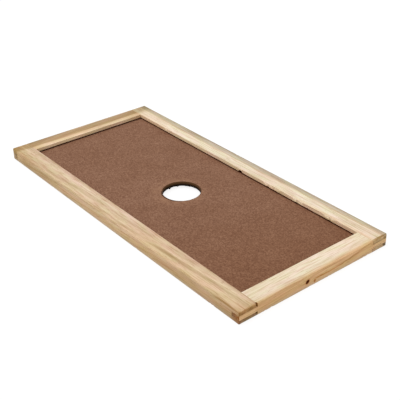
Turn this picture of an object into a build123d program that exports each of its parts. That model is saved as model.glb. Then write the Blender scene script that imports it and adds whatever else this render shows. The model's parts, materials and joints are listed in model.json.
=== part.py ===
"""Inner cover of a narrow beehive: a grooved softwood frame round a hardboard panel.

X runs along the cover, Y across it and Z up. The origin is the middle of the underside,
the face that rests on the hive. All sizes are in millimetres.
"""

import os

from build123d import *

os.makedirs("parts", exist_ok=True)

# Frame
cover_length = 505.0
cover_width = 238.0
rail_width = 25.4
rail_height = 16.0
arris_radius = 0.7  # outer edges, eased by sanding

# Panel, and the groove round the inside of the frame that holds it
panel_thickness = 4.8
panel_play = 1.55  # between the panel and the upper wall of the groove
panel_edge_gap = 1.0  # between the panel and the bottom of the groove, for swelling
groove_depth = 12.7
hole_diameter = 52.0

# Corner joints
tongue_setback = 1.9  # inner side of a tongue outside the bottom of the groove
tongue_slack = 0.1  # above and below a tongue in its slot
slot_end_gap = 1.0  # between a tongue and the inner end of its slot
shoulder_gap = 0.2  # between an end rail's shoulder and the side rail

# Corner staples
staple_crown = 6.0
staple_sink = 0.3  # crown below the underside
staple_cover = 2.4  # wood left above the points
staple_slack = 0.05
wire_width = 1.25
wire_thickness = 1.0
wire_bend = 0.9  # radius of the wire's middle line

# Heights worked out from the sizes above
mid_height = rail_height / 2
groove_height = panel_thickness + panel_play
groove_floor = mid_height - groove_height / 2
tongue_thickness = groove_height - 2 * tongue_slack
crown_line = staple_sink + wire_thickness / 2
leg_tip = rail_height - staple_cover

# Places worked out from the sizes above
end_face = cover_length / 2
side_face = cover_width / 2
groove_bottom = rail_width - groove_depth
tongue_width = groove_bottom - tongue_setback
side_rail_middle = side_face - rail_width / 2
end_rail_middle = end_face - rail_width / 2
tongue_middle = end_face - tongue_width / 2
slot_length = tongue_width + slot_end_gap
shoulder = side_face - rail_width - shoulder_gap
leg_line = (staple_crown - wire_thickness) / 2
staple_spacing = (2 * tongue_middle, 2 * side_rail_middle)

# Middle line of a staple's wire: across the crown and up both legs
with BuildLine() as wire_line:
    FilletPolyline(
        (-leg_line, leg_tip),
        (-leg_line, crown_line),
        (leg_line, crown_line),
        (leg_line, leg_tip),
        radius=wire_bend,
    )

# Staple: flat wire bent square, with chisel points
with BuildPart() as staple:
    with BuildSketch(Plane.YZ):
        trace(wire_line.line, line_width=wire_thickness)
    extrude(amount=wire_width / 2, both=True)
    tips = staple.faces().filter_by(Axis.Z).group_by(Axis.Z)[-1]
    chamfer(tips.edges().filter_by(Axis.X), length=0.4 * wire_thickness)

# Room in the wood for one staple, with the mark that its driver leaves under the crown
with BuildPart() as staple_room:
    with BuildSketch(Plane.YZ):
        trace(wire_line.line, line_width=wire_thickness + 2 * staple_slack)
        Rectangle(staple_crown + 2 * staple_slack, crown_line, align=(Align.CENTER, Align.MIN))
    extrude(amount=wire_width / 2 + staple_slack, both=True)

with BuildPart() as staple_holes:
    with GridLocations(*staple_spacing, 2, 2):
        add(staple_room.part)

with BuildPart() as corner_staples:
    with GridLocations(*staple_spacing, 2, 2):
        add(staple.part)
corner_staples.part.label = "corner_staples"
export_step(corner_staples.part, "parts/corner_staples.step")

# Side rails: the groove runs into a slot for a tongue, as high as itself, through each end
with BuildPart() as front_rail:
    with BuildSketch(Plane.YZ):
        with Locations((-side_rail_middle, mid_height)):
            Rectangle(rail_width, rail_height)
    extrude(amount=end_face, both=True)
    with BuildSketch(Plane.YZ):
        with Locations((-side_face + rail_width, mid_height)):
            Rectangle(groove_depth, groove_height, align=(Align.MAX, Align.CENTER))
    extrude(amount=end_face - slot_length, both=True, mode=Mode.SUBTRACT)
    with BuildSketch(Plane.XZ.offset(side_rail_middle)):
        with Locations((-end_face, mid_height), (end_face, mid_height)):
            Rectangle(2 * slot_length, groove_height)
    extrude(amount=rail_width, both=True, mode=Mode.SUBTRACT)
    uprights = front_rail.edges().filter_by(Axis.Z).group_by(Axis.X)
    flats = front_rail.faces().filter_by(Axis.Z).group_by(Axis.Z)
    outline = [flats[i].edges().sort_by(Axis.Y)[:-1] for i in (0, -1)]
    fillet(uprights[0] + uprights[-1] + outline[0] + outline[1], radius=arris_radius)
    add(staple_holes.part, mode=Mode.SUBTRACT)
front_rail.part.label = "front_rail"
export_step(front_rail.part, "parts/front_rail.step")

with BuildPart() as back_rail:
    mirror(front_rail.part, about=Plane.XZ)
back_rail.part.label = "back_rail"
export_step(back_rail.part, "parts/back_rail.step")

# End rails: the lips stop at the side rails, and a tongue runs on through each slot
with BuildPart() as right_end_rail:
    with BuildSketch(Plane.XZ):
        with Locations((end_rail_middle, mid_height)):
            Rectangle(rail_width, rail_height)
        with Locations((end_face - rail_width, mid_height)):
            Rectangle(groove_depth, groove_height, align=(Align.MIN, Align.CENTER), mode=Mode.SUBTRACT)
    extrude(amount=shoulder, both=True)
    with BuildSketch(Plane.XZ):
        with Locations((tongue_middle, mid_height)):
            Rectangle(tongue_width, tongue_thickness)
    extrude(amount=side_face, both=True)
    outer_edges = right_end_rail.edges().filter_by(Plane.YZ).group_by(Axis.X)[-1]
    uprights = outer_edges.filter_by(Axis.Z)
    long_edges = outer_edges.filter_by(Axis.Y).group_by(Axis.Z)
    fillet(uprights + long_edges[0] + long_edges[-1], radius=arris_radius)
    add(staple_holes.part, mode=Mode.SUBTRACT)
right_end_rail.part.label = "right_end_rail"
export_step(right_end_rail.part, "parts/right_end_rail.step")

with BuildPart() as left_end_rail:
    mirror(right_end_rail.part, about=Plane.YZ)
left_end_rail.part.label = "left_end_rail"
export_step(left_end_rail.part, "parts/left_end_rail.step")

# Panel: lies on the lower wall of the groove, short of its bottom all round
with BuildPart() as hardboard_panel:
    with BuildSketch(Plane.XY.offset(groove_floor)):
        Rectangle(
            cover_length - 2 * (groove_bottom + panel_edge_gap),
            cover_width - 2 * (groove_bottom + panel_edge_gap),
        )
        Circle(hole_diameter / 2, mode=Mode.SUBTRACT)
    extrude(amount=panel_thickness)
hardboard_panel.part.label = "hardboard_panel"
export_step(hardboard_panel.part, "parts/hardboard_panel.step")
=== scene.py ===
# %% [markdown]
# # Hive inner cover
# Between the frames of a beehive and its roof lies this flat cover: four pine rails round a sheet of
# hardboard, with one round hole in the middle of the sheet. The CAD model already holds every size and
# every joint. This lesson dresses it: it wears the edges, tears the fibres round the hole, gives each piece
# a finish worked out from the real material, and sets up the light and the camera.

# %% Load the frame
import json
import math
import random
from functools import partial

import bmesh
import bpy
from mathutils import Matrix, Vector, noise


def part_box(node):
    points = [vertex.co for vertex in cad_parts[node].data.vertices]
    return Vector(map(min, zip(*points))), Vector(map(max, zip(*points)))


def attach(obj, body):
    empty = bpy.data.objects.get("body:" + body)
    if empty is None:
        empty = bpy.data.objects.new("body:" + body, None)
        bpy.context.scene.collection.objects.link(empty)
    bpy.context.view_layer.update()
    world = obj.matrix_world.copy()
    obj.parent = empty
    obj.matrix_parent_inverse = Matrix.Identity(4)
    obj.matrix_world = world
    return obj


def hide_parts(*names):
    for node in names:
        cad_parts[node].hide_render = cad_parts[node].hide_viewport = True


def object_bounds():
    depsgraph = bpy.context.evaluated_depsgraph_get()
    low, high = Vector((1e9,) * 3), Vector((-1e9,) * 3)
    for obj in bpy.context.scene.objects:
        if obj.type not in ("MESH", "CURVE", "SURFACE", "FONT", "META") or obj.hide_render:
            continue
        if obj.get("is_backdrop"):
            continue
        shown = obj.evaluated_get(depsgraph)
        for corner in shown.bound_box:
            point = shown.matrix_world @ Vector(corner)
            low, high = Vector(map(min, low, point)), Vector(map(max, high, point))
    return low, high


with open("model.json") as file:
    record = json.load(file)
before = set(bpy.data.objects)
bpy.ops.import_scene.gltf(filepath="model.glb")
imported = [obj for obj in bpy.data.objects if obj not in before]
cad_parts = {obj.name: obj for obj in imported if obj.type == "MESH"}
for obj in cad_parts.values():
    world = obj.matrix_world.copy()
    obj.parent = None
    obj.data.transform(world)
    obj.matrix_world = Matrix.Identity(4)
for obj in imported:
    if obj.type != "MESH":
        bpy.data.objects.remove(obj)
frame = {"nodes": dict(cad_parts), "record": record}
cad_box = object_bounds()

MM = 0.001
scene = bpy.context.scene
scene.view_settings.view_transform = "Standard"
print("CAD nodes:", ", ".join(sorted(frame["nodes"])))

# %% [markdown]
# ## Sizes from the CAD model
# Stains, chips and torn fibres have to sit exactly on edges and joints. Their places could be typed in, but
# they would go wrong as soon as the model changed. So they are measured here, in millimetres, on the CAD
# meshes: the outer faces, the panel, the edge of the lip above it, and where the joints begin.

# %% Sizes from the CAD model
# places closer together than this count as one
HAIR = 0.01

END, SIDE, TOP = (c / MM for c in cad_box[1])
panel_low, panel_high = (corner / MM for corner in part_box("hardboard_panel"))
rail_low, rail_high = (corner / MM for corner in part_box("front_rail"))
RAIL_WIDTH = rail_high.y - rail_low.y
INNER_END = END - RAIL_WIDTH
INNER_SIDE = SIDE - RAIL_WIDTH

end_rail = [v.co / MM for v in frame["nodes"]["right_end_rail"].data.vertices]
inner_face = [p for p in end_rail if p.x < INNER_END + HAIR]
SHOULDER = max(p.y for p in inner_face)
LIP = min(p.z for p in inner_face if p.z > panel_high.z)
tongue = [p for p in end_rail if p.y > SHOULDER + HAIR]
TONGUE_LOW = min(p.z for p in tongue)
TONGUE_HIGH = max(p.z for p in tongue)
TONGUE_SIDE = min(p.x for p in tongue)
print(f"rail {RAIL_WIDTH:.1f} mm, lip edge {LIP:.2f} mm up, panel top {panel_high.z:.2f} mm up")
print(f"tongue {TONGUE_LOW:.1f} to {TONGUE_HIGH:.1f} mm up, {END - TONGUE_SIDE:.1f} mm wide")

# %% [markdown]
# ## Camera
# The cover was photographed from above one corner with a fairly long lens. The place could be found by eye
# in the camera view. Here a pinhole camera was fitted to the edges of the frame instead, which gives the
# direction, the small roll and the focal length straight away, with no shift.

# %% Camera
PHOTO_WIDTH = 400
FOCAL_PIXELS = 812
AIM = Vector((43.05, -2.9, 16.0)) * MM
AIM_DISTANCE = 1.0557
AZIMUTH = math.radians(51.65)
ELEVATION = math.radians(30.31)
ROLL = math.radians(-1.01)

lens = bpy.data.cameras.new("corner_view")
lens.sensor_width = 36
lens.lens = FOCAL_PIXELS / PHOTO_WIDTH * lens.sensor_width
camera = bpy.data.objects.new("corner_view", lens)
tilt = Matrix.Rotation(math.radians(90) - ELEVATION, 4, "X")
camera.matrix_world = Matrix.Rotation(AZIMUTH, 4, "Z") @ tilt @ Matrix.Rotation(ROLL, 4, "Z")
camera.location = AIM + camera.matrix_world.to_3x3() @ Vector((0, 0, AIM_DISTANCE))
scene.collection.objects.link(camera)
scene.camera = camera
print(f"camera {lens.lens:.1f} mm at", [round(x, 3) for x in camera.location])

# %% [markdown]
# ## Helpers for finishes
# Colours are written as the sRGB hex values that a colour picker shows, and shaders want linear light, so
# one function turns one into the other. A second adds a node with its settings, fills or links its sockets
# and gives its outputs. Where sockets share a name they go by number: a Map Range takes 0 from the range 1 to
# 2 over to the range 3 to 4, and a Mix blends the colours 6 and 7 by 0. A third starts an empty finish and
# hands out the second for it, called add. So a finish reads from top to bottom like a recipe.

# %% Colour and node helpers
# a stain multiplies the colour below it, so it only darkens
STAINED = {"data_type": "RGBA", "blend_type": "MULTIPLY"}
SMOOTH = {"interpolation_type": "SMOOTHSTEP"}


def linear(shade):
    """An sRGB hex colour such as "#E0C8A0", or a linear grey from 0 to 1, as linear RGB and alpha."""
    if not isinstance(shade, str):
        return [shade, shade, shade, 1.0]
    parts = [int(shade[i : i + 2], 16) / 255 for i in (1, 3, 5)]
    return [p / 12.92 if p <= 0.04045 else ((p + 0.055) / 1.055) ** 2.4 for p in parts] + [1.0]


def add_node(tree, kind, sockets=None, stops=None, **settings):
    """Add a node of a kind such as "Bump", or "Math ADD" with its operation, and give its outputs.

    Sockets map a name or number to a value, a hex colour or another node's output. Stops fill a colour ramp
    with pairs of a place and a hex colour or grey."""
    kind, _, operation = kind.partition(" ")
    added = tree.nodes.new("ShaderNode" + kind)
    if operation:
        added.operation = operation
    for setting, value in settings.items():
        setattr(added, setting, value)
    for socket, value in (sockets or {}).items():
        if isinstance(value, bpy.types.NodeSocket):
            tree.links.new(value, added.inputs[socket])
        else:
            added.inputs[socket].default_value = linear(value) if isinstance(value, str) else value
    if stops:
        ramp = added.color_ramp.elements
        ramp.remove(ramp[1])
        ramp[0].position = stops[0][0]
        ramp[0].color = linear(stops[0][1])
        for place, shade in stops[1:]:
            ramp.new(place).color = linear(shade)
    return added.outputs


def new_finish(name):
    """An empty node material, and add_node for its tree."""
    material = bpy.data.materials.new(name)
    material.use_nodes = True
    material.node_tree.nodes.clear()
    return material, partial(add_node, material.node_tree)


print("cream pine in linear light:", [round(x, 3) for x in linear("#EBD8BE")])

# %% [markdown]
# ## Light
# A white photo tent lights the cover: bright cloth overhead, dimmer cloth down to the table, and light thrown
# back by the table from below. A softbox at the front left, for which a sun lamp with a wide angle stands,
# adds a little direction. Most light comes from high up, so it hardly reaches under the lips, which stay
# dark. Cloth and softbox together light a level surface so that a colour renders as it is written. The
# camera, and anything shiny, sees plain white.

# %% Light
OVERHEAD = 0.88
ALL_ROUND = 0.56
TABLE = 0.62
HORIZON_BLUR = 0.03
SOFTBOX_FROM = Vector((-0.2, -0.5, 1.0))
SOFTBOX_STRENGTH = 0.82
SOFTBOX_ANGLE = math.radians(40)


def seen_by_eye(add):
    """1 for the rays that a camera sends out, also by way of shiny or clear things, and 0 for other light."""
    path = add("LightPath")
    seen = add("Math MAXIMUM", {0: path["Is Camera Ray"], 1: path["Is Glossy Ray"]})[0]
    return add("Math MAXIMUM", {0: seen, 1: path["Is Transmission Ray"]})[0]


world = bpy.data.worlds.new("white_tent")
world.use_nodes = True
scene.world = world
world.node_tree.nodes.clear()
add = partial(add_node, world.node_tree)
direction = add("TexCoord")["Generated"]
height = add("SeparateXYZ", {0: direction})["Z"]
height = add("MapRange", {0: height, 1: -1.0, 2: 1.0})[0]
stops = [(0.5 - HORIZON_BLUR, TABLE), (0.5 + HORIZON_BLUR, ALL_ROUND), (1.0, OVERHEAD)]
tent = add("ValToRGB", {0: height}, stops=stops)[0]
glow = add("Mix", {0: seen_by_eye(add), 6: tent, 7: "#FFFFFF"}, data_type="RGBA")[2]
room = add("Background", {"Color": glow})[0]
add("OutputWorld", {"Surface": room})

softbox_lamp = bpy.data.lights.new("front_softbox", "SUN")
softbox_lamp.energy = SOFTBOX_STRENGTH
softbox_lamp.angle = SOFTBOX_ANGLE
softbox = bpy.data.objects.new("front_softbox", softbox_lamp)
softbox.rotation_mode = "QUATERNION"
softbox.rotation_quaternion = SOFTBOX_FROM.to_track_quat("Z", "Y")
scene.collection.objects.link(softbox)
level = (ALL_ROUND + 2 * OVERHEAD) / 3 + SOFTBOX_STRENGTH * SOFTBOX_FROM.normalized().z / math.pi
print(f"a level surface gets {level:.2f} of the light that shows its colour as written")

# %% [markdown]
# ## Floor
# The cover lies on a white sweep. A floor that is only lit would go grey in the shadow and show a horizon, so
# most of its white is its own glow and the rest is lit, which keeps a pale shadow. Only the camera and shiny
# things see it, and only from above, so that the underside can be looked at too. The table's share of the
# light, above, stands for what the floor throws back.

# %% Floor
FLOOR_HALF = 4.0
FLOOR_DROP = 0.2 * MM
FLOOR_LIT = 0.2
FLOOR_GLOW = 1.06

shape = bmesh.new()
bmesh.ops.create_grid(shape, x_segments=8, y_segments=8, size=FLOOR_HALF)
bmesh.ops.translate(shape, verts=shape.verts, vec=(0, 0, -FLOOR_DROP))
floor_mesh = bpy.data.meshes.new("white_sweep")
shape.to_mesh(floor_mesh)
shape.free()
floor = bpy.data.objects.new("white_sweep", floor_mesh)
scene.collection.objects.link(floor)
floor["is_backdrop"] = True

paper, add = new_finish("white_sweep_paper")
under = add("NewGeometry")["Backfacing"]
seen = add("Math SUBTRACT", {0: seen_by_eye(add), 1: under}, use_clamp=True)[0]
glow = add("Emission", {"Color": "#FFFFFF", "Strength": FLOOR_GLOW})[0]
lit = add("BsdfDiffuse", {"Color": "#FFFFFF"})[0]
white = add("MixShader", {0: FLOOR_LIT, 1: glow, 2: lit})[0]
clear = add("BsdfTransparent")[0]
sweep = add("MixShader", {0: seen, 1: clear, 2: white})[0]
add("OutputMaterial", {"Surface": sweep})
floor_mesh.materials.append(paper)
print("floor", FLOOR_HALF * 2, "m square")

# %% [markdown]
# ## Carving tools
# A rail could be modelled again from nothing. Its shape is right in the CAD model, joints and staple
# pockets included, so a copy of that mesh is cut into smaller faces and carved where the real wood is
# worn. The tools copy a mesh, cut its faces with planes, round off an edge, press a hollow into a face, break
# a bite out of an edge and scatter small knocks along one. Carving only takes wood away, so a rail stays in
# the CAD model's box.

# %% Copy, cut and ease
STATION = 8 * MM
WELD = 0.001 * MM
FLAT = math.radians(0.5)
CUT_SNAP = 0.0001 * MM


def copy_of(node_name):
    """The CAD node's mesh, welded, with its triangles joined into whole flat faces."""
    shape = bmesh.new()
    shape.from_mesh(frame["nodes"][node_name].data)
    bmesh.ops.remove_doubles(shape, verts=shape.verts, dist=WELD)
    bmesh.ops.dissolve_limit(shape, angle_limit=FLAT, verts=shape.verts, edges=shape.edges)
    return shape


def in_box(point, low, high):
    """Whether a point lies in the box from low to high."""
    return all(a <= c <= b for a, c, b in zip(low, point, high))


def steps(first, last, size):
    """Evenly spaced places from first to last, about size apart."""
    count = max(1, round((last - first) / size))
    return [first + (last - first) * i / count for i in range(count + 1)]


def cut(shape, axis, places, low=None, high=None):
    """Cut with planes square to an axis, only the faces that reach into the box from low to high."""
    faces = []
    for face in shape.faces:
        spans = [[v.co[i] for v in face.verts] for i in range(3)]
        if low is None or all(max(s) >= a and min(s) <= b for s, a, b in zip(spans, low, high)):
            faces.append(face)
    geometry = list(dict.fromkeys(part for face in faces for part in (face, *face.edges, *face.verts)))
    square = Vector([float(i == axis) for i in range(3)])
    for place in places:
        geometry = bmesh.ops.bisect_plane(
            shape, geom=geometry, dist=CUT_SNAP, plane_co=square * place, plane_no=square
        )["geom"]


def ease(shape, low, high, width):
    """Round off the edges that lie in the box from low to high."""
    edges = [e for e in shape.edges if all(in_box(v.co, low, high) for v in e.verts)]
    bmesh.ops.bevel(
        shape, geom=edges, offset=width, segments=2, profile=0.6, affect="EDGES", clamp_overlap=True
    )


print("a rail is cut every", STATION / MM, "mm")

# %% Hollow
# a hollow squeezes this many millimetres of the wood behind it
HOLLOW_REACH = 4


def point(x, y, z):
    """A place or a reach given in millimetres."""
    return Vector((x, y, z)) * MM


def wavering(spot, share, pitch):
    """A factor round 1 that wavers by up to a share, over about pitch millimetres."""
    return 1 + share * noise.noise(spot / (pitch * MM))


def hollow(shape, y0, y1, z0, z1, grain, depth_at):
    """Press part of the right-hand end face in, as deep as depth_at says, and squeeze the wood behind it."""
    low, high = point(END - HOLLOW_REACH, y0, z0), point(END + HAIR, y1, z1)
    for i in (1, 2):
        cut(shape, i, steps(low[i], high[i], grain), low, high)
    for v in shape.verts:
        if in_box(v.co, low, high):
            v.co.x -= depth_at(v.co) * (v.co.x - low.x) / (high.x - low.x)


print("a hollow squeezes the", HOLLOW_REACH, "mm of wood behind it")

# %% Chip and knock
CHIP_ROOM = 0.02 * MM
KNOCK_DEPTHS = (0.6, 1.3)
KNOCK_HALF_LENGTHS = (1.0 * MM, 3.5 * MM)


def chip(shape, middle, half_length, reach_a, reach_b, grain=0.5 * MM):
    """Break a bite out of an edge: points outside a slanting plane are pushed back onto it.

    The edge runs through middle, square to the two inward reaches, which say how deep the bite goes."""
    along = reach_a.cross(reach_b).normalized()
    axis = max(range(3), key=lambda i: abs(along[i]))
    corners = [middle + along * half_length * s + r for s in (-1, 1) for r in (Vector(), reach_a + reach_b)]
    low = [min(c[i] for c in corners) - CHIP_ROOM for i in range(3)]
    high = [max(c[i] for c in corners) + CHIP_ROOM for i in range(3)]
    for i in (axis, (axis + 1) % 3, (axis + 2) % 3):
        cut(shape, i, steps(low[i], high[i], grain), low, high)
    for v in shape.verts:
        offset = v.co - middle
        x = offset.dot(along) / half_length
        if abs(x) < 1 and in_box(v.co, low, high):
            size = (1 - x * x) * wavering(v.co, share=0.35, pitch=1.1)
            spare = 1 - offset.dot(reach_a) / reach_a.length_squared / size
            spare -= offset.dot(reach_b) / reach_b.length_squared / size
            if spare > 0:
                v.co += (reach_a + reach_b) * size * spare / 2


def knock(shape, first, last, reach_a, reach_b, count, seed):
    """Small knocks at random places along the edge from first to last."""
    dice = random.Random(seed)
    for _ in range(count):
        middle = first.lerp(last, dice.random())
        depth = dice.uniform(*KNOCK_DEPTHS)
        half_length = dice.uniform(*KNOCK_HALF_LENGTHS)
        chip(shape, middle, half_length, reach_a * depth, reach_b * depth, grain=0.7 * MM)


print("knocks are", [round(2 * half / MM) for half in KNOCK_HALF_LENGTHS], "mm long at least and at most")

# %% [markdown]
# ## From a carved shape to a piece
# A finished shape becomes a Blender object. Slivers that the cuts left are merged first. The faces shade
# smoothly, but stay crisp where two of them meet at a clear angle, and a modifier weights the shading by face
# size, so that large faces look flat.

# %% Piece
SLIVER = 0.002 * MM
CRISP = math.radians(32)


def piece_of(shape, name, node_name, material):
    """Turn a finished shape into a named piece that stands for its CAD node."""
    bmesh.ops.dissolve_degenerate(shape, dist=SLIVER, edges=shape.edges)
    bmesh.ops.recalc_face_normals(shape, faces=shape.faces)
    mesh = bpy.data.meshes.new(name)
    shape.to_mesh(mesh)
    shape.free()
    mesh.polygons.foreach_set("use_smooth", [True] * len(mesh.polygons))
    mesh.set_sharp_from_angle(angle=CRISP)
    mesh.materials.append(material)
    piece = bpy.data.objects.new(name, mesh)
    scene.collection.objects.link(piece)
    even = piece.modifiers.new("even_shading", "WEIGHTED_NORMAL")
    even.keep_sharp = True
    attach(piece, "root")
    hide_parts(node_name)
    print(name, "has", len(mesh.polygons), "faces")


# %% [markdown]
# ## A board's own places
# Each rail is pine, planed and lightly sanded, with no finish on it. An image could be wrapped round a rail,
# but its grain would break at every edge. So the wood is solid: it is drawn in the rail's own millimetres
# (along it, in from its outer face, up) and the faces cut it open. A tree is never as straight as a saw cut,
# so a second set of places follows the fibres, which run out of the rail at a slight slant. Blotches and
# streaks are noise in these places, drawn out along the rail.

# %% A board's own places
def places_in(add, turn, flip, outer, slant):
    """Millimetres along a rail, in from its outer face and up, and the same along its slanting grain."""
    place = add("TexCoord")["Object"]
    rail = add("Mapping", {0: place, 1: (0, outer, 0), 2: (0, 0, turn), 3: (1 / MM, flip / MM, 1 / MM)})[0]
    split = add("SeparateXYZ", {0: rail})
    grain = add("VectorMath MULTIPLY_ADD", {0: split["X"], 1: (0, -slant[0], -slant[1]), 2: rail})[0]
    return {"rail": rail, "grain": grain, "along": split["X"], "inward": split["Y"], "up": split["Z"]}


def figure(add, where, length, width, detail, roughness=0.5):
    """Noise drawn out along a rail, with features about this long and this wide in millimetres."""
    drawn = add("Mapping", {0: where, 3: (1 / length, 1 / width, 1 / width)})[0]
    return add("TexNoise", {"Vector": drawn, "Scale": 1.0, "Detail": detail, "Roughness": roughness})


print("wood is drawn in millimetres:", round(1 / MM), "to a metre")

# %% [markdown]
# ## Growth rings
# The rings are tubes round a pith that lies outside the rail, and their slanting run-out gives the long soft
# streaks of a sawn board. In each year pale earlywood darkens to grey-olive latewood and ends in a quicker
# step, which sanding has blurred. The pine grew fast, so a year is wide. Some years come out stronger than
# others, each of them fades and returns along the board, and near a knot the rings are swept aside.

# %% Growth rings
DARKEST = (0.55, 0.7)
SEASON = [(0.0, 0), (0.2, 0), (DARKEST[0], 1), (DARKEST[1], 1), (1.0, 0)]


def growth_rings(add, at, sway, pith, width, swirl=None):
    """How much dark latewood there is, from 0 to 1, at each place in a board."""
    drift = figure(add, at["grain"], length=120, width=35, detail=1.5)["Color"]
    flat = add("VectorMath MULTIPLY", {0: at["grain"], 1: (0, 1, 1)})[0]
    flat = add("VectorMath MULTIPLY_ADD", {0: drift, 1: (0, sway, sway), 2: flat})[0]
    radius = add("VectorMath DISTANCE", {0: flat, 1: (0, *pith)})["Value"]
    years = add("Math MULTIPLY", {0: radius, 1: 1 / width})[0]
    uneven = add("TexNoise", {"W": years, "Scale": 0.7, "Detail": 0.0}, noise_dimensions="1D")[0]
    years = add("Math MULTIPLY_ADD", {0: uneven, 1: 1.2, 2: years})[0]
    if swirl:
        years = add("Math ADD", {0: years, 1: swirl})[0]
    season = add("Math FRACT", {0: years})[0]
    late = add("ValToRGB", {0: season}, stops=SEASON)[0]
    year = add("Math FLOOR", {0: years})[0]
    vigour = add("TexWhiteNoise", {"W": year}, noise_dimensions="1D")["Value"]
    vigour = add("MapRange", {0: vigour, 3: 0.5, 4: 1.0})[0]
    patch = figure(add, at["grain"], length=60, width=14, detail=1.0)[0]
    patch = add("MapRange", {0: patch, 1: 0.3, 2: 0.7, 3: 0.35, 4: 1.25})[0]
    late = add("Math MULTIPLY", {0: late, 1: patch})[0]
    return add("Math MULTIPLY", {0: late, 1: vigour})[0]


print("latewood is darkest for", round((DARKEST[1] - DARKEST[0]) * 100), "percent of a year")

# %% [markdown]
# ## Sapwood, heartwood and stains
# Between the rings the wood is not one colour. Pale sapwood meets tan heartwood along a line that wanders a
# little, and over the joints glue and hands have stained it. Both are colour ramps: one across the rail and
# one along it, the second only as a tint. A third ramp bends the line between the zones, as the tree was not
# straight. Over a few centimetres the wood also drifts between pinkish and olive, as resin and minerals come
# and go.

# %% Sapwood, heartwood and stains
PINKISH, OLIVE = "#FFFAFC", "#FAFFF5"
ZONE_WANDER = 0.2
MOST_BEND = 4
RAGGED = 4.0


def drawn_along(add, along, points):
    """A colour or grey along a rail, drawn through (millimetres along, colour or grey) points."""
    spot = add("MapRange", {0: along, 1: -END, 2: END})[0]
    return add("ValToRGB", {0: spot}, stops=[(0.5 + mm / END / 2, shade) for mm, shade in points])[0]


def number_along(add, at, points, low, high):
    """A number between low and high, drawn through (millimetres along, number) points."""
    greys = [(mm, (number - low) / (high - low)) for mm, number in points]
    return add("MapRange", {0: drawn_along(add, at["along"], greys), 3: low, 4: high})[0]


def clear_wood(add, at, zones, tints, bend):
    """Colour between the rings, from (millimetres in, colour) zones and (millimetres along, colour) tints.

    Bend moves the zones outwards, by (millimetres along, millimetres), but not on the outer face itself."""
    wander = figure(add, at["rail"], length=90, width=60, detail=2.0)[0]
    wander = {0: wander, 3: (1 - ZONE_WANDER) / RAIL_WIDTH, 4: (1 + ZONE_WANDER) / RAIL_WIDTH}
    wander = add("MapRange", wander)[0]
    shift = number_along(add, at, bend, -MOST_BEND, MOST_BEND)
    # the outer face has no bend, and just below it the bend can't bring the face's own zone back
    inside = add("MapRange", {0: at["inward"], 1: 0.05, 2: 1.0})[0]
    zone = add("Math MULTIPLY_ADD", {0: shift, 1: inside, 2: at["inward"]})[0]
    least = add("Math MULTIPLY", {0: inside, 1: 0.2})[0]
    zone = add("Math MAXIMUM", {0: zone, 1: least})[0]
    zone = add("Math MULTIPLY", {0: zone, 1: wander})[0]
    stops = [(mm / RAIL_WIDTH, colour) for mm, colour in zones]
    wood = add("ValToRGB", {0: zone}, stops=stops)[0]
    ragged = add("TexNoise", {"Vector": at["rail"], "Scale": 1 / 9, "Detail": 2.0})[0]
    ragged = add("MapRange", {0: ragged, 3: -RAGGED, 4: RAGGED})[0]
    spot = add("Math ADD", {0: at["along"], 1: ragged})[0]
    tint = drawn_along(add, spot, tints)
    wood = add("Mix", {0: 1.0, 6: wood, 7: tint}, **STAINED)[2]
    patch = figure(add, at["grain"], length=25, width=8, detail=1.0)[0]
    drift = add("ValToRGB", {0: patch}, stops=[(0.35, PINKISH), (0.65, OLIVE)])[0]
    return add("Mix", {0: 1.0, 6: wood, 7: drift}, **STAINED)[2]


print("stains have edges that are ragged by up to", RAGGED, "mm")

# %% [markdown]
# ## Fibres and end grain
# Close up, planed pine shows fine fibres with short brown resin ducts among them. Where a face cuts straight
# across them, the open ends of the cells drink the light, so end grain is browner and blotchy. The shader
# finds end grain by itself, as the faces that look along the fibres.

# %% Fibres
FIBRE = "#D2BEA2"
FIBRE_LENGTH, FIBRE_WIDTH = 45, 1.5
RESIN = "#B08A5C"
DUCT_LENGTH, DUCT_WIDTH = 9, 0.8


def fibres(add, at, wood):
    """Draw fibres and resin ducts over the wood. Gives the colour, and the fibres for the relief."""
    # fibres are about 0.03 mm wide, far too fine to show, so bundles of them are drawn
    fibre = figure(add, at["grain"], FIBRE_LENGTH, FIBRE_WIDTH, detail=3.0, roughness=0.65)[0]
    streak = add("MapRange", {0: fibre, 1: 0.44, 2: 0.68, 3: 0.0, 4: 0.75})[0]
    wood = add("Mix", {0: streak, 6: wood, 7: FIBRE}, **STAINED)[2]
    # resin ducts are 0.2 mm wide, so they are drawn wider too
    duct = figure(add, at["grain"], DUCT_LENGTH, DUCT_WIDTH, detail=0.0)[0]
    duct = add("MapRange", {0: duct, 1: 0.72, 2: 0.82, 3: 0.0, 4: 0.5})[0]
    return add("Mix", {0: duct, 6: wood, 7: RESIN}, **STAINED)[2], fibre


print("fibre bundles are drawn", FIBRE_WIDTH, "mm wide and", FIBRE_LENGTH, "mm long")

# %% End grain
END_GRAIN_FROM, END_GRAIN_FULL = 0.35, 0.75


def end_grain(add, at, wood, turn, tint):
    """Tint the faces that look along the fibres, blotchily."""
    facing = add("NewGeometry")["True Normal"]
    fibre_way = (math.cos(turn), math.sin(turn), 0)
    cross = add("VectorMath DOT_PRODUCT", {0: facing, 1: fibre_way})["Value"]
    cross = add("Math ABSOLUTE", {0: cross})[0]
    cross = add("MapRange", {0: cross, 1: END_GRAIN_FROM, 2: END_GRAIN_FULL})[0]
    blotch = add("TexNoise", {"Vector": at["rail"], "Scale": 1 / 2.6, "Detail": 2.0})[0]
    blotch = add("MapRange", {0: blotch, 1: 0.3, 2: 0.7, 3: 0.75, 4: 1.2})[0]
    cross = add("Math MULTIPLY", {0: cross, 1: blotch})[0]
    return add("Mix", {0: cross, 6: wood, 7: tint}, clamp_factor=False, **STAINED)[2]


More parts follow.
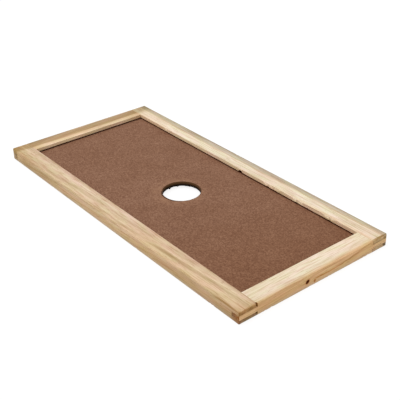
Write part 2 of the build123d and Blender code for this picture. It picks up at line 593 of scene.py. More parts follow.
print("end grain starts", round(math.degrees(math.acos(END_GRAIN_FROM))), "degrees off the fibres")

# %% [markdown]
# ## Painted floor shade and spots
# The floor's light comes from the lower half of the tent, which casts no contact shadow, so the shade near
# the floor is painted on: the sides darken towards the bottom, more in some stretches than in others, and the
# lowest few millimetres turn greyer. Light bounces about inside the pale torn hollows, so painted shade
# darkens them, and soft darker spots lie near the corners. Both are egg-shaped spots that fade towards their
# edge.

# %% Painted floor shade and spots
BASE_GREY = "#B9AD9D"
GREY_FROM, GREY_FULL = 7.5, 2.0


def shade_towards_floor(add, at, wood, fibre, floor_shade):
    """Paint floor shade on the sides by (millimetres along, tint) stops, and grey the lowest millimetres."""
    tint = drawn_along(add, at["along"], floor_shade)
    # painted shade: the lower half darkens, for the contact shadow that the floor does not cast
    towards_floor = add("MapRange", {0: at["up"], 1: TOP + 0.5, 2: TOP / 2})[0]
    wood = add("Mix", {0: towards_floor, 6: wood, 7: tint}, **STAINED)[2]
    # the lowest few millimetres are mixed towards grey
    low = add("Math MULTIPLY_ADD", {0: fibre, 1: 3.0, 2: at["up"]})[0]
    greyed = add("MapRange", {0: low, 1: GREY_FROM, 2: GREY_FULL, 3: 0.0, 4: 0.4})[0]
    return add("Mix", {0: greyed, 6: wood, 7: BASE_GREY}, data_type="RGBA")[2]


def egg_distance(add, at, place, lean, size):
    """Distance from a place along, in and up, counted in half-sizes of an egg that leans over."""
    egg = add("Mapping", {0: at["rail"], 1: place, 2: (0, lean, 0), 3: size}, vector_type="TEXTURE")[0]
    return add("VectorMath LENGTH", {0: egg})["Value"]


def darken_spot(add, at, wood, place, size, tint):
    """Darken the wood in an egg-shaped spot; inside torn hollows this is painted shade."""
    far = egg_distance(add, at, place, 0, size)
    spot_darkness = add("MapRange", {0: far, 1: 1.0, 2: 0.4}, **SMOOTH)[0]
    return add("Mix", {0: spot_darkness, 6: wood, 7: tint}, **STAINED)[2]


print("soil grows from the top edge down to", round(TOP / 2, 1), "mm up")

# %% [markdown]
# ## Dead knot
# A twig that died while the tree grew on leaves a dark plug, loose in a ring of resin-soaked wood. It is an
# egg too, so 1 half-size out is its edge. The same distance sweeps the rings aside. Resin that seeped from it
# runs on along the grain as a thin amber thread, which a path of points draws.

# %% Dead knot
KNOT_RING = "#D6A878"
KNOT_CORE = "#642A00"
RESIN_REACH = 2.2
THREAD_FADE = [(0.0, 0), (0.1, 1), (0.6, 0.8), (1.0, 0)]


def dead_knot(add, wood, far):
    """Draw the ring of resin and the dark plug."""
    ring = add("MapRange", {0: far, 1: RESIN_REACH, 2: 1.1, 3: 0.0, 4: 0.55}, **SMOOTH)[0]
    wood = add("Mix", {0: ring, 6: wood, 7: KNOT_RING}, **STAINED)[2]
    core = add("MapRange", {0: far, 1: 1.25, 2: 1.0}, **SMOOTH)[0]
    return add("Mix", {0: core, 6: wood, 7: KNOT_CORE}, data_type="RGBA")[2]


def resin_thread(add, at, wood, path, half_width, tint):
    """Draw a thread along a path of points, each given as millimetres along the rail and up."""
    along = add("MapRange", {0: at["along"], 1: path[0][0], 2: path[-1][0]}, clamp=False)[0]
    middle = number_along(add, at, path, 0, TOP)
    wavy = add("TexNoise", {"Vector": at["rail"], "Scale": 1 / 7, "Detail": 1.0})[0]
    wavy = add("MapRange", {0: wavy, 3: -1.2, 4: 1.2})[0]
    middle = add("Math ADD", {0: middle, 1: wavy})[0]
    off = add("Math SUBTRACT", {0: at["up"], 1: middle})[0]
    off = add("Math ABSOLUTE", {0: off})[0]
    near = add("MapRange", {0: off, 1: half_width, 2: 0.0}, **SMOOTH)[0]
    fade = add("ValToRGB", {0: along}, stops=THREAD_FADE)[0]
    near = add("Math MULTIPLY", {0: near, 1: fade})[0]
    return add("Mix", {0: near, 6: wood, 7: tint}, **STAINED)[2]


print("a knot's resin reaches", RESIN_REACH, "times as far as its plug")

# %% [markdown]
# ## Planed pine
# Planing leaves a dull, slightly silky surface, on which the hard latewood stands a hair prouder and shines a
# little more than the soft earlywood. This recipe lays all the layers above over each other. Each rail then
# gets its own board from it: its own zones, rings, stains and soil and, in one of them, the knot.

# %% Planed pine
PINE_IOR = 1.5
# torn fibres hide most of the shine that a smooth surface would have
PINE_SHINE = 0.12
EARLYWOOD_ROUGHNESS, LATEWOOD_ROUGHNESS = 0.72, 0.58
PINE_RELIEF = 0.12 * MM
LATEWOOD = "#CCC2AC"


def planed_pine(
    name, turn, flip, outer, zones, tints, slant, rings, bold, floor_shade=((0, "#FFFFFF"),), end_tint="#FFFFFF",
    bend=((0, 0),), spots=(), threads=(), knot=None,
):
    """Solid softwood for one rail. Bold says how strong the rings are at the outer face and from 6 mm in."""
    material, add = new_finish(name)
    at = places_in(add, turn, flip, outer, slant)
    wood = clear_wood(add, at, zones, tints, bend)
    swirl = None
    if knot:
        far = egg_distance(add, at, **knot)
        swirl = add("MapRange", {0: far, 1: 0.6, 2: 5.0, 3: 0.9, 4: 0.0}, **SMOOTH)[0]
    late = growth_rings(add, at, swirl=swirl, **rings)
    boldness = add("MapRange", {0: at["inward"], 1: 1.0, 2: 6.0, 3: bold[0], 4: bold[1]})[0]
    late = add("Math MULTIPLY", {0: late, 1: boldness})[0]
    wood = add("Mix", {0: late, 6: wood, 7: LATEWOOD}, **STAINED)[2]
    wood, fibre = fibres(add, at, wood)
    wood = end_grain(add, at, wood, turn, end_tint)
    wood = shade_towards_floor(add, at, wood, fibre, floor_shade)
    for spot in spots:
        wood = darken_spot(add, at, wood, *spot)
    for thread in threads:
        wood = resin_thread(add, at, wood, *thread)
    if knot:
        wood = dead_knot(add, wood, far)
    dull = add("MapRange", {0: late, 3: EARLYWOOD_ROUGHNESS, 4: LATEWOOD_ROUGHNESS})[0]
    height = add("Math MULTIPLY_ADD", {0: late, 1: 0.6, 2: fibre})[0]
    relief = add("Bump", {"Strength": 0.5, "Distance": PINE_RELIEF, "Height": height})[0]
    sockets = {"Base Color": wood, "Roughness": dull, "IOR": PINE_IOR, "Normal": relief}
    surface = add("BsdfPrincipled", sockets | {"Specular IOR Level": PINE_SHINE})[0]
    add("OutputMaterial", {"Surface": surface})
    # the spots counted as stains include painted shade in torn hollows
    print(name, "zones:", len(zones), "stains:", len(spots))
    return material


print("pine is duller in earlywood, by", round(EARLYWOOD_ROUGHNESS - LATEWOOD_ROUGHNESS, 2))

# %% [markdown]
# ## Front rail
# The near long rail has the boldest grain: soft grey-olive streaks that slant from the outer edge towards the
# inner one along its length. Its left end is stained darker over the tongue, its right end a little browner,
# and the painted floor shade on its side is strongest at the right. Its edges have small knocks, and the
# mouth of its groove is eased. At the near corner, splinters tore out on both sides of the joint, above and
# below the tongue, when it was sawn, and painted shade darkens their hollows. At the left, the upright corner
# of the frame is worn round.

# %% Front rail's wood
# painted shade inside the hollows of the torn splinters
TEAR_SHADE = "#E8E2B2"
TEAR_HEIGHTS = [((TOP + TONGUE_HIGH) / 2 - 0.4, 2.9), (TONGUE_LOW / 2 + 0.4, 2.7)]

pine_front = planed_pine(
    "planed_pine_streaked",
    turn=0, flip=1, outer=SIDE,
    zones=[
        (0, "#F5DCBB"), (0.06, "#E6CDAB"), (0.8, "#E6CDAB"), (2.2, "#F0D8BA"), (13, "#F1DBC0"),
        (18, "#F8E2CC"), (RAIL_WIDTH, "#F0D8C4"),
    ],
    tints=[
        (-TONGUE_SIDE + 2, "#CDBF9F"), (-TONGUE_SIDE + 7, "#F2EDE2"), (-185, "#F1ECE4"),
        (-62, "#FFFCFC"), (-40, "#F8F4F0"), (20, "#FCF9F6"), (75, "#F3EBE0"), (END - 40, "#F9F3EC"),
        (END - 14, "#F3ECE2"), (END - 2, "#E8DCC9"), (END - 0.5, "#D3BF9E"),
    ],
    slant=(0.02, 0.05),
    rings={"sway": 8, "pith": (-87.2, -45), "width": 11.5},
    bold=(0.35, 0.75),
    # painted floor shade on the side, strongest at the right
    floor_shade=[
        (-END, "#FFFFFF"), (-END + 30, "#F0E6DA"), (-80, "#EBE1D0"), (30, "#F0E6D6"), (85, "#FEF6EA"),
        (140, "#E9DFD0"), (END - 15, "#DCCFBE"), (END, "#D8C5AC"),
    ],
    end_tint="#FFF0DA",
    spots=[
        # painted shade in the torn hollows
        *[((END - 1, RAIL_WIDTH - 0.6, up), (2.9, 2.3, half), TEAR_SHADE) for up, half in TEAR_HEIGHTS],
        ((-END + 20, 1.0, TOP - 1), (62, 7, 8), "#F6F1E8"),
        ((END - 21, 0.2, TOP - 0.9), (32, 1.7, 1.7), "#D8CAAE"),
        ((-50, 23.6, TOP), (75, 5, 8), "#F0E8E2"),
        ((END - 3, 0, 2.5), (12, 4, 6), "#EAD4C4"),
        ((END, 14, 2), (3, 13, 4), "#E8EEDA"),
    ],
)

# %% Front rail
KNOCK = 0.9
EASED, GROOVE_ROOM = 0.25, 0.1
TEAR_DEPTH, TEAR_FLOOR, TEAR_RIM = 2.6, 0.9, 0.3
TEAR_GRAIN = 0.3 * MM
TONGUE_ROOM = 0.05
WORN_ROUND, WORN_ROOM, WORN_GRAIN = 2.6, 0.1 * MM, 0.5 * MM
# cuts and knocks stop short of the rail's ends
SIDE_RAIL_CUTS = (END - 4.5) * MM
SIDE_RAIL_KNOCKS = END - 7.5


def ease_groove(shape, x0, x1, y0, y1, lower=EASED, upper=EASED):
    """Round off both edges of the groove's mouth, which lies in the upright plane from x0, y0 to x1, y1."""
    for z, width in ((panel_low.z, lower), (LIP, upper)):
        low = point(x0 - GROOVE_ROOM, y0 - GROOVE_ROOM, z - HAIR)
        high = point(x1 + GROOVE_ROOM, y1 + GROOVE_ROOM, z + HAIR)
        ease(shape, low, high, width * MM)


def tear_depth(spot, edge, way, width):
    """Depth of the splinters torn out beside a joint's edge, as far as width goes, with a ragged rim."""
    up = spot.z / MM
    if up < TEAR_FLOOR or TONGUE_LOW - TONGUE_ROOM < up < TONGUE_HIGH + TONGUE_ROOM:
        return 0.0
    away = way * (spot.y / MM - edge)
    ragged = width * wavering(spot, share=0.35, pitch=1.3)
    return TEAR_DEPTH * min(1, max(0, (ragged - away) / TEAR_RIM)) * MM


def round_upright(shape, x, y, radius):
    """Wear an upright corner of the frame round, by squeezing its square of wood into a quarter circle."""
    corner, middle = point(x, y, TOP), point(x - math.copysign(radius, x), y - math.copysign(radius, y), 0)
    low = [min(a, b) - WORN_ROOM for a, b in zip(corner, middle)]
    high = [max(a, b) + WORN_ROOM for a, b in zip(corner, middle)]
    for i in range(2):
        cut(shape, i, steps(low[i], high[i], WORN_GRAIN), low, high)
    for v in shape.verts:
        out = Vector((v.co.x - middle.x, v.co.y - middle.y, 0))
        if in_box(v.co, low, high) and out.x * x > 0 and out.y * y > 0:
            v.co += out * (max(abs(out.x), abs(out.y)) / out.length - 1)


shape = copy_of("front_rail")
cut(shape, 0, steps(-SIDE_RAIL_CUTS, SIDE_RAIL_CUTS, STATION))
ease_groove(shape, -INNER_END, INNER_END, -INNER_SIDE, -INNER_SIDE)
tear_box = (-INNER_SIDE - 2.4, -INNER_SIDE + HAIR, 0, TOP)
hollow(shape, *tear_box, TEAR_GRAIN, lambda spot: tear_depth(spot, -INNER_SIDE, way=-1, width=1.3))
round_upright(shape, -END, -SIDE, WORN_ROUND)
reach_in, reach_up = point(0, KNOCK, 0), point(0, 0, KNOCK)
for z, up, count, seed in ((0, reach_up, 9, 4), (TOP, -reach_up, 5, 7)):
    first, last = point(-SIDE_RAIL_KNOCKS, -SIDE, z), point(SIDE_RAIL_KNOCKS, -SIDE, z)
    knock(shape, first, last, reach_in, up, count, seed)
piece_of(shape, "pine_front_rail", "front_rail", pine_front)

# %% [markdown]
# ## Back rail
# The far long rail is pale sapwood with a greyer band along its outer edge and a stain over the left joint.
# Its lip lost a splinter near the middle, which shows as a dark nick against the panel, and a few smaller
# ones. Its right-hand end is worn round at the top and at the upright corner, and the worn top is coloured
# darker, and a splinter broke out of it above the bottom edge, with painted shade in its hollow. All are
# carved, because a dark spot in the colour alone would look flat from other sides.

# %% Back rail's wood
BREAK_AT = Vector((END, SIDE - 4.4, 2.3))

pine_back = planed_pine(
    "planed_pine_sapwood",
    turn=0, flip=-1, outer=SIDE,
    zones=[
        (0, "#B9AD9C"), (2, "#CEC2B0"), (8.2, "#D8CBB6"), (9.6, "#E2CDB0"), (11.6, "#FAECD6"),
        (22, "#FDF0DD"), (RAIL_WIDTH, "#FDE8CE"),
    ],
    tints=[
        (-TONGUE_SIDE + 1, "#CFC4B2"), (-TONGUE_SIDE + 7, "#EAE2D4"), (-INNER_END, "#FAF5EE"),
        (-150, "#FEFCF9"), (20, "#FFFFFF"), (48, "#FAF6F2"), (92, "#FAF6F2"), (120, "#FFFFFF"),
        (INNER_END - 10, "#FAF6F1"), (END, "#F3EEE6"),
    ],
    slant=(0.02, 0.02),
    rings={"sway": 8, "pith": (49, -60), "width": 6.0},
    bold=(0.5, 0.2),
    # painted floor shade, even along the rail
    floor_shade=[(0, "#FBEFE0")],
    end_tint="#E6D6B8",
    bend=[(-180, 0), (-90, -1.2), (10, 0), (150, 0.8), (235, 3.2)],
    spots=[
        # painted shade inside the hollow where the splinter broke out
        ((END - 0.8, SIDE - BREAK_AT.y, BREAK_AT.z), (2.6, 2.6, 2.0), "#6E4C3C"),
        ((END - 1.4, 15, TOP - 0.2), (2.6, 17, 2.1), "#C8B696"),
    ],
)

# %% Back rail
NICK_AT, NICK_HALF_LENGTH = point(12.6, INNER_SIDE, LIP), 4.2 * MM
NICK_IN, NICK_UP = point(0, 6.0, 0), point(0, 0, 2.8)
LIP_FROM, LIP_TO = point(40, INNER_SIDE, LIP), point(215, INNER_SIDE, LIP)
LIP_IN, LIP_UP = point(0, 1.4, 0), point(0, 0, 0.7)
WORN_AT, WORN_HALF_LENGTH = point(END, SIDE - 6, TOP), 19 * MM
WORN_IN, WORN_DOWN = point(-2.3, 0, 0), point(0, 0, -1.9)


def pit(shape, middle, half_length, half_width, lean, depth, room, grain):
    """Break a steep, ragged oval pit into the end face. Room is that of the finer faces across and up."""

    def depth_at(spot):
        y, z = spot.y / MM - middle.y, spot.z / MM - middle.z
        length = (y * math.cos(lean) + z * math.sin(lean)) / half_length
        width = (z * math.cos(lean) - y * math.sin(lean)) / half_width
        far = math.hypot(length, width) * wavering(spot, share=0.2, pitch=1.5)
        return depth * max(0, 1 - far**4) * MM

    across, up = room
    box = (middle.y - across, middle.y + across, middle.z - up, middle.z + up)
    hollow(shape, *box, grain, depth_at)


shape = copy_of("back_rail")
cut(shape, 0, steps(-SIDE_RAIL_CUTS, SIDE_RAIL_CUTS, STATION))
ease_groove(shape, -INNER_END, INNER_END, INNER_SIDE, INNER_SIDE)
chip(shape, NICK_AT, NICK_HALF_LENGTH, NICK_IN, NICK_UP)
knock(shape, LIP_FROM, LIP_TO, LIP_IN, LIP_UP, count=6, seed=21)
chip(shape, WORN_AT, WORN_HALF_LENGTH, WORN_IN, WORN_DOWN, grain=0.6 * MM)
round_upright(shape, END, SIDE, WORN_ROUND)
broken = {"half_length": 2.2, "half_width": 1.5, "lean": -0.3, "depth": 2.6}
pit(shape, BREAK_AT, **broken, room=(3, 2), grain=0.4 * MM)
first, last = point(-SIDE_RAIL_KNOCKS, SIDE, TOP), point(SIDE_RAIL_KNOCKS, SIDE, TOP)
knock(shape, first, last, -reach_in, -reach_up, count=4, seed=11)
piece_of(shape, "pine_back_rail", "back_rail", pine_back)

# %% [markdown]
# ## Left end rail
# The far end rail was sawn across the line between tan heartwood and pale sapwood, and that line runs
# straight down the middle of its top. The lower edge of its lip is worn rounder than on the other rails.
# The CAD model leaves a working gap at the shoulders, and here the glued joint is pulled up tight.

# %% Left end rail's wood
pine_left = planed_pine(
    "planed_pine_heartwood_edge",
    turn=math.radians(90), flip=1, outer=END,
    zones=[(0, "#E4CFB2"), (3, "#C9B08D"), (14.4, "#C8AA7F"), (17.8, "#FADFBC"), (RAIL_WIDTH, "#FFE8C6")],
    tints=[
        (-SHOULDER, "#EAE1D7"), (-60, "#F5F1F1"), (-15, "#F4F0F0"), (20, "#FFFAFA"), (75, "#F9F7F6"),
        (SHOULDER, "#F0E7DC"), (SHOULDER + 8, "#FFFFFF"),
    ],
    slant=(0.01, 0.02),
    rings={"sway": 6, "pith": (-60, -50), "width": 5.0},
    bold=(0.4, 0.4),
    spots=[((85, 0, TOP), (95, 4.5, 6), "#D2C8B8")],
)

# %% Left end rail
GLUE_LINE = 0.04
END_RAIL_CUTS = (SHOULDER - 5.4) * MM


def close_joints(shape):
    """Pull an end rail's shoulders up to the side rails, all but a hair of the CAD model's gap."""
    for v in shape.verts:
        if abs(abs(v.co.y) / MM - SHOULDER) < HAIR:
            v.co.y = math.copysign(INNER_SIDE - GLUE_LINE, v.co.y) * MM


shape = copy_of("left_end_rail")
close_joints(shape)
cut(shape, 1, steps(-END_RAIL_CUTS, END_RAIL_CUTS, STATION))
ease_groove(shape, -INNER_END, -INNER_END, -INNER_SIDE, INNER_SIDE, lower=0.3, upper=0.5)
round_upright(shape, -END, -SIDE, WORN_ROUND)
piece_of(shape, "pine_left_end_rail", "left_end_rail", pine_left)

# %% [markdown]
# ## Right end rail
# The near end rail is the palest on top, turns tan towards its outer edge, and holds a small dead knot in its
# outer face, with the grain swept round it. The knot has partly fallen out, so it is a real hollow in the
# mesh. The near shoulder has its side of the tears above and below the tongue. At the far end the upper edge
# of the tongue is torn, which leaves a dark seam below the finger above it.

# %% Right end rail's wood
KNOT_AT = Vector((END, -16.8, 8.1))
KNOT_LEAN = math.radians(36)
# along, into and across the board
KNOT_HALF_SIZE = (2.6, 7, 2.1)

pine_right = planed_pine(
    "planed_pine_resinous_edge",
    turn=math.radians(-90), flip=1, outer=END,
    zones=[
        (0, "#FFD6A1"), (0.06, "#EAC599"), (1.4, "#ECD0A7"), (3, "#F4E1BE"), (5.2, "#F8E9CE"),
        (8, "#FBF0DA"), (12, "#FFF3DD"),
    ],
    tints=[
        (-SHOULDER - 4, "#FFFFFF"), (-SHOULDER, "#F3EBE6"), (-40, "#F8F2F0"), (20, "#FCF8F8"),
        (SHOULDER, "#F8F1EC"), (SHOULDER + 4, "#FFFFFF"),
    ],
    slant=(0.0, 0.03),
    rings={"sway": 5, "pith": (28.2, -70), "width": 6.5},
    bold=(0.28, 0.08),
    # painted floor shade, faint, fading out towards the far end
    floor_shade=[(40, "#FAF9F6"), (SHOULDER, "#FFFFFF")],
    end_tint="#BC9876",
    bend=[(-67, 0.75), (-32, 0.45), (2, -0.65), (37, -1.2), (90, -1.5)],
    spots=[
        # painted shade in the torn hollows
        *[((-SHOULDER + 0.3, 1.4, up), (2.3, 3.0, half), TEAR_SHADE) for up, half in TEAR_HEIGHTS],
        ((KNOT_AT.y + 11.6, 0, 4.6), (2.4, 3, 3.0), "#D2AA7C"),
        ((-SIDE, 6.5, TOP / 2), (3, 6, 6), "#ECD6C4"),
    ],
    threads=[
        ([(KNOT_AT.y + 10, 7.6), (26, 7.0), (50, 9.0)], 1.8, "#DAB888"),
        ([(30, 7.4), (50, 9), (62, 11.2), (74, 13.2), (84, 14.1), (SHOULDER + 10, 14)], 2.0, "#DACAB0"),
    ],
    knot={"place": (KNOT_AT.y, 0, KNOT_AT.z), "lean": -KNOT_LEAN, "size": KNOT_HALF_SIZE},
)

# %% Right end rail
SEAM_HEIGHT, SEAM_DEPTH, SEAM_RIM = 0.7, 1.0, 0.4
SEAM_FROM, SEAM_TO = SHOULDER + 0.3, SIDE - 0.9
END_RAIL_KNOCKS = SHOULDER - 7.4


def seam_depth(spot):
    """Depth of the torn upper edge of the far tongue."""
    ragged = SEAM_HEIGHT * wavering(spot, share=0.4, pitch=2.5)
    ends = min(spot.y / MM - SEAM_FROM, SEAM_TO - spot.y / MM)
    depth = SEAM_DEPTH * max(0, 1 - (TONGUE_HIGH - spot.z / MM) / ragged)
    return depth * min(1, max(0, ends / SEAM_RIM)) * MM


shape = copy_of("right_end_rail")
close_joints(shape)
cut(shape, 1, steps(-END_RAIL_CUTS, END_RAIL_CUTS, STATION))
ease_groove(shape, INNER_END, INNER_END, -INNER_SIDE, INNER_SIDE)
length, _, width = KNOT_HALF_SIZE
pit(shape, KNOT_AT, length, width, KNOT_LEAN, depth=2.2, room=(6, 5), grain=0.35 * MM)
tear_box = (-INNER_SIDE, -INNER_SIDE + 2, 0, TOP)
hollow(shape, *tear_box, TEAR_GRAIN, lambda spot: tear_depth(spot, -SHOULDER, way=1, width=0.9))
hollow(shape, SEAM_FROM, SEAM_TO, TONGUE_HIGH - 1.2, TONGUE_HIGH + HAIR, 0.4 * MM, seam_depth)
round_upright(shape, END, SIDE, WORN_ROUND)
reach_in = point(-KNOCK, 0, 0)
for z, up, count, seed in ((0, reach_up, 8, 2), (TOP, -reach_up, 3, 9)):
    first, last = point(END, -END_RAIL_KNOCKS, z), point(END, END_RAIL_KNOCKS, z)
    knock(shape, first, last, reach_in, up, count, seed)
piece_of(shape, "pine_right_end_rail", "right_end_rail", pine_right)

# %% [markdown]
# ## Pressed hardboard
# The panel is hardboard: wood fibre pressed hot into a sheet, smooth above and with the print of a wire
# screen below. It gives the eye a matte brown, finely speckled with paler and darker fibre and a little
# blotchy over a few centimetres. A hole saw left the fibres round the hole paler, most of all in front of it.
# Painted shade darkens the wall of the hole towards its bottom, for the dark space under the sheet, lines the
# top of the rim thinly, widest in front, and darkens the edge that goes into the groove.

# %% Pressed hardboard
HARDBOARD_IOR = 1.5
HARDBOARD_ROUGHNESS = 0.88
HARDBOARD_SHINE = 0.1
CLUMP, BLOTCH = 1.7, 38
CLUMP_SHADES = [(0.40, "#785340"), (0.61, "#8D6751"), (0.82, "#A37C64")]
DARKER_FROM, DARKER_TO = 20, 235


def millimetres(add):
    """An object's own places, in millimetres."""
    place = add("TexCoord")["Object"]
    return add("VectorMath SCALE", {0: place, "Scale": 1 / MM})[0]


hardboard, add = new_finish("pressed_hardboard")
mm = millimetres(add)
split = add("SeparateXYZ", {0: mm})
facing = add("NewGeometry")["True Normal"]
facing = add("SeparateXYZ", {0: facing})

# single fibres are too fine to show, so clumps of them are drawn, each with its own shade
blotch = add("TexNoise", {"Vector": mm, "Scale": 1 / BLOTCH, "Detail": 3.0})[0]
clump = add("TexNoise", {"Vector": mm, "Scale": 1 / CLUMP, "Detail": 3.0, "Roughness": 0.75})[0]
fleck = add("TexVoronoi", {"Vector": mm, "Scale": 1 / CLUMP})["Color"]
fleck = add("SeparateXYZ", {0: fleck})["X"]
mottle = add("Math MULTIPLY_ADD", {0: fleck, 1: 0.22, 2: clump})[0]
brown = add("ValToRGB", {0: mottle}, stops=CLUMP_SHADES)[0]
shade = add("MapRange", {0: blotch, 1: 0.3, 2: 0.7, 3: 0.0, 4: 0.6})[0]
brown = add("Mix", {0: shade, 6: brown, 7: "#EAE2DA"}, **STAINED)[2]
right_end = add("MapRange", {0: split["X"], 1: DARKER_FROM, 2: DARKER_TO}, **SMOOTH)[0]
brown = add("Mix", {0: right_end, 6: brown, 7: "#F1E9DF"}, **STAINED)[2]
print("hardboard specks are", CLUMP, "mm across")

# %% Paler fibres, painted shade of the hidden edge, and bark
hole = next(m for m in frame["record"]["mounts"] if m["name"] == "escape_hole")
HOLE_RADIUS = hole["dims"]["r_mm"]
FUZZ, FUZZ_MIDDLE, FUZZ_REACH = "#B48A6C", (-2, -5, 0), 15
# painted shade for the groove under the lip
GROOVE_SHADE = "#481C00"
BARK = "#4A2F20"
BARK_SPECKS = [(46.3, 82.1, 1.8), (-58.9, -83.6, 1.5)]

flat = add("VectorMath MULTIPLY", {0: mm, 1: (1, 1, 0)})[0]
radius = add("VectorMath LENGTH", {0: flat})["Value"]
patchy = add("TexNoise", {"Vector": mm, "Scale": 1 / 9, "Detail": 2.0})[0]
patchy = add("MapRange", {0: patchy, 1: 0.35, 2: 0.65, 3: 0.05, 4: 0.45})[0]
fuzz = add("VectorMath DISTANCE", {0: flat, 1: FUZZ_MIDDLE})["Value"]
fuzz = add("MapRange", {0: fuzz, 1: HOLE_RADIUS + FUZZ_REACH, 2: HOLE_RADIUS + 0.5})[0]
fuzz = add("Math MULTIPLY", {0: fuzz, 1: patchy})[0]
brown = add("Mix", {0: fuzz, 6: brown, 7: FUZZ}, data_type="RGBA")[2]

# painted shade: the edge of the sheet that goes into the groove is darkened where the lip shades it, and it
# gets no shine
groove_shade = [(split["X"], INNER_END), (split["Y"], INNER_SIDE)]
groove_shade = [(add("Math ABSOLUTE", {0: out})[0], edge) for out, edge in groove_shade]
groove_shade = [add("Math SUBTRACT", {0: out, 1: edge})[0] for out, edge in groove_shade]
groove_shade = add("Math MAXIMUM", {0: groove_shade[0], 1: groove_shade[1]})[0]
groove_shade = add("MapRange", {0: groove_shade, 1: -0.8, 2: 0.3, 3: 0.0, 4: 0.95})[0]
brown = add("Mix", {0: groove_shade, 6: brown, 7: GROOVE_SHADE}, data_type="RGBA")[2]
shine = add("MapRange", {0: groove_shade, 3: HARDBOARD_SHINE, 4: 0.0})[0]

# two dark specks of bark pressed into the sheet
for x, y, size in BARK_SPECKS:
    gap = add("VectorMath DISTANCE", {0: flat, 1: (x, y, 0)})["Value"]
    speck = add("MapRange", {0: gap, 1: size, 2: size * 0.4, 3: 0.0, 4: 0.8})[0]
    brown = add("Mix", {0: speck, 6: brown, 7: BARK}, data_type="RGBA")[2]
print("hardboard has", len(BARK_SPECKS), "specks of bark and a hole of radius", HOLE_RADIUS, "mm")

# %% Sawn wall of the hole
# the wall's own brown at the top, then painted shade towards the bottom
WALL_BROWN_TO_SHADE = [(0.3, "#140B06"), (0.5, "#2E1C0E"), (0.75, "#5A3C22"), (1.0, "#6B4A2A")]
SHADE_REACH_BELOW = 1.0
# painted shade along the rim's top edge
RIM_SHADE = "#4A3120"
RIM_SHADE_NARROW, RIM_SHADE_WIDE = 0.3, 2.0
RIM_SHADE_TOWARDS = (0.12, -0.99, 0)

# the wall's own brown at the top of the cut, darkened to nearly black at the bottom: painted shade for the
# dark space under the sheet
edge = add("Math ABSOLUTE", {0: facing["Z"]})[0]
edge = add("MapRange", {0: edge, 1: 0.8, 2: 0.4})[0]
depth = add("MapRange", {0: split["Z"], 1: panel_low.z - SHADE_REACH_BELOW, 2: panel_high.z})[0]
depth = add("Math MULTIPLY_ADD", {0: clump, 1: 0.5, 2: depth})[0]
depth = add("Math MULTIPLY", {0: depth, 1: 0.8})[0]
wall_shade = add("ValToRGB", {0: depth}, stops=WALL_BROWN_TO_SHADE)[0]
brown = add("Mix", {0: edge, 6: brown, 7: wall_shade}, data_type="RGBA")[2]
# painted shade: a thin dark line along the top edge of the rim, wider on the near side
side = add("VectorMath DOT_PRODUCT", {0: flat, 1: RIM_SHADE_TOWARDS})["Value"]
wide = add("MapRange", {0: side, 1: 0.6 * HOLE_RADIUS, 2: HOLE_RADIUS, 3: RIM_SHADE_NARROW, 4: RIM_SHADE_WIDE})[0]
ring = add("Math ADD", {0: clump, 1: wide})[0]
ring = add("Math ADD", {0: ring, 1: HOLE_RADIUS})[0]
ring = add("Math SUBTRACT", {0: ring, 1: radius})[0]
ring = add("MapRange", {0: ring, 1: -0.2, 2: 0.3, 3: 0.0, 4: 0.85})[0]
top_face = add("Math GREATER_THAN", {0: facing["Z"], 1: 0.3})[0]
ring = add("Math MULTIPLY", {0: ring, 1: top_face})[0]
brown = add("Mix", {0: ring, 6: brown, 7: RIM_SHADE}, data_type="RGBA")[2]
# the printed width is that of the painted rim shade on the near side
print("the saw's bruise is", RIM_SHADE_WIDE, "mm wide where the saw leaned")

# %% Screen print and surface
SCREEN_PITCH = 1.6
HARDBOARD_RELIEF = 0.2 * MM

wires = [add("Math MULTIPLY", {0: split[a], 1: math.tau / SCREEN_PITCH})[0] for a in "XY"]
wires = [add("Math SINE", {0: wire})[0] for wire in wires]
screen = add("Math MULTIPLY", {0: wires[0], 1: wires[1]})[0]
below = add("Math LESS_THAN", {0: facing["Z"], 1: -0.9})[0]
screen = add("Math MULTIPLY", {0: screen, 1: below})[0]
height = add("Math MULTIPLY_ADD", {0: screen, 1: 1.2, 2: clump})[0]
relief = add("Bump", {"Strength": 0.6, "Distance": HARDBOARD_RELIEF, "Height": height})[0]
sockets = {"Base Color": brown, "Roughness": HARDBOARD_ROUGHNESS, "IOR": HARDBOARD_IOR, "Normal": relief}
surface = add("BsdfPrincipled", sockets | {"Specular IOR Level": shine})[0]
add("OutputMaterial", {"Surface": surface})
print("the screen below has a wire every", SCREEN_PITCH, "mm")

# %% [markdown]
# ## Hardboard panel
# The sheet could be a box with a boolean hole, but a clean cut looks like plastic. Here the rim of the hole
# is drawn ring by ring from the top face, over its sharp edge, down the wall, to a burr of torn fibres that
# the hole saw pushed out below, and back under the sheet. Some tufts hang lower than the rest. The flat rest
# is filled up to the sheet's edge.

# %% Rim of the hole
RIM_POINTS = 480
RIM_REACH = 7.0
BURR_LENGTH = 1.5
# degrees round the hole, millimetres longer than the burr, and degrees from the middle to the side
TUFTS = [(182, 1.6, 5), (156, 0.9, 2.5), (118, 0.5, 3), (205, 0.7, 2)]


def torn(angle, pitch, seed):
    """Even noise round the hole, from -1 to 1, with features about pitch millimetres long."""
    spot = Vector((math.cos(angle), math.sin(angle), 0)) * HOLE_RADIUS / pitch
    return noise.noise(spot + Vector((0, 0, seed)))


def burr(angle):
    """How far the torn fibres hang below the sheet, in millimetres."""
    hang = BURR_LENGTH + 0.5 * max(0, torn(angle, pitch=6, seed=11))
    hang += 0.6 * max(0, torn(angle, pitch=1.6, seed=5))
    for middle, length, half_width in TUFTS:
        away = abs(math.degrees(angle) - middle) / half_width
        hang += length * max(0, 1 - away)
    return hang


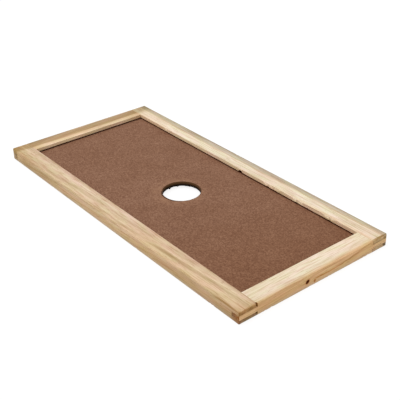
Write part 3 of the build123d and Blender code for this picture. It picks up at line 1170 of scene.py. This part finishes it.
shape = bmesh.new()
rim = []
for i in range(RIM_POINTS):
    angle = math.tau * i / RIM_POINTS
    nap = 0.1 * torn(angle, pitch=2.5, seed=3)
    hang = burr(angle)
    lean = 0.25 + 0.5 * max(0, torn(angle, pitch=2.2, seed=8))
    outline = [
        (RIM_REACH, panel_high.z),
        (2.0, panel_high.z),
        (0.3 + nap, panel_high.z),
        (0.08 + nap, panel_high.z - 0.06),
        (nap, panel_high.z - 0.25),
        (0.05 * torn(angle, pitch=3, seed=2), (panel_high.z + panel_low.z) / 2),
        (-0.05, panel_low.z + 1.0),
        (-0.5 * lean, panel_low.z + 0.15),
        (-lean, panel_low.z - hang),
        (0.3 - 0.5 * lean, panel_low.z - 0.5 * hang),
        (1.4, panel_low.z),
        (RIM_REACH, panel_low.z),
    ]
    outward = Vector((math.cos(angle), math.sin(angle), 0))
    spots = [outward * (HOLE_RADIUS + out) + Vector((0, 0, z)) for out, z in outline]
    rim.append([shape.verts.new(spot * MM) for spot in spots])
for here, there in zip(rim, rim[1:] + rim[:1]):
    for j in range(len(here) - 1):
        shape.faces.new((here[j], there[j], there[j + 1], here[j + 1]))
print("the rim has", len(shape.faces), "faces")

# %% Rest of the sheet
EDGE_STEP = 12

corners = [(panel_low.x, panel_low.y), (panel_high.x, panel_low.y)]
corners += [(panel_high.x, panel_high.y), (panel_low.x, panel_high.y)]
border = []
for (x0, y0), (x1, y1) in zip(corners, corners[1:] + corners[:1]):
    count = round(math.hypot(x1 - x0, y1 - y0) / EDGE_STEP)
    border += [(x0 + (x1 - x0) * k / count, y0 + (y1 - y0) * k / count) for k in range(count)]
upper = [shape.verts.new(point(x, y, panel_high.z)) for x, y in border]
lower = [shape.verts.new(point(x, y, panel_low.z)) for x, y in border]
for i in range(len(border)):
    j = (i + 1) % len(border)
    shape.faces.new((lower[i], lower[j], upper[j], upper[i]))
for outside, inside in ((upper, 0), (lower, -1)):
    loops = [outside, [ring[inside] for ring in rim]]
    edges = [shape.edges.get((a, b)) for loop in loops for a, b in zip(loop, loop[1:] + loop[:1])]
    bmesh.ops.triangle_fill(shape, use_beauty=True, edges=edges)
piece_of(shape, "pressed_hardboard_panel", "hardboard_panel", hardboard)

# %% [markdown]
# ## Corner staples
# One staple pins each corner from below. Its shape is right in the CAD model, so it stays, and only gets its
# finish: zinc-coated steel wire, drawn and then galvanised, which is grey with a soft, uneven shine.

# %% Corner staples
ZINC_BLOOM = 0.9
ZINC_SHADES = [(0.3, "#AEB0AE"), (0.7, "#D4D5D2")]
ZINC_ROUGHNESS = (0.5, 0.3)
ZINC_RELIEF = 0.03 * MM

zinc, add = new_finish("galvanised_steel_wire")
bloom = add("TexNoise", {"Vector": millimetres(add), "Scale": 1 / ZINC_BLOOM, "Detail": 3.0})[0]
grey = add("ValToRGB", {0: bloom}, stops=ZINC_SHADES)[0]
dull = add("MapRange", {0: bloom, 3: ZINC_ROUGHNESS[0], 4: ZINC_ROUGHNESS[1]})[0]
relief = add("Bump", {"Strength": 0.3, "Distance": ZINC_RELIEF, "Height": bloom})[0]
surface = add("BsdfPrincipled", {"Base Color": grey, "Metallic": 1.0, "Roughness": dull, "Normal": relief})[0]
add("OutputMaterial", {"Surface": surface})
staples = frame["nodes"]["corner_staples"]
staples.data.materials.clear()
staples.data.materials.append(zinc)
print("staples keep their CAD shape:", len(staples.data.polygons), "faces")

# %% [markdown]
# ## Size of the dressed model
# The dressed model has to stay inside the CAD model's box. Both boxes are printed, to be compared.

# %% Size
boxes = {"cad": cad_box, "visual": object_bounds()}
for name, (low, high) in boxes.items():
    print(name, "box in mm:", [round((b - a) / MM, 2) for a, b in zip(low, high)])
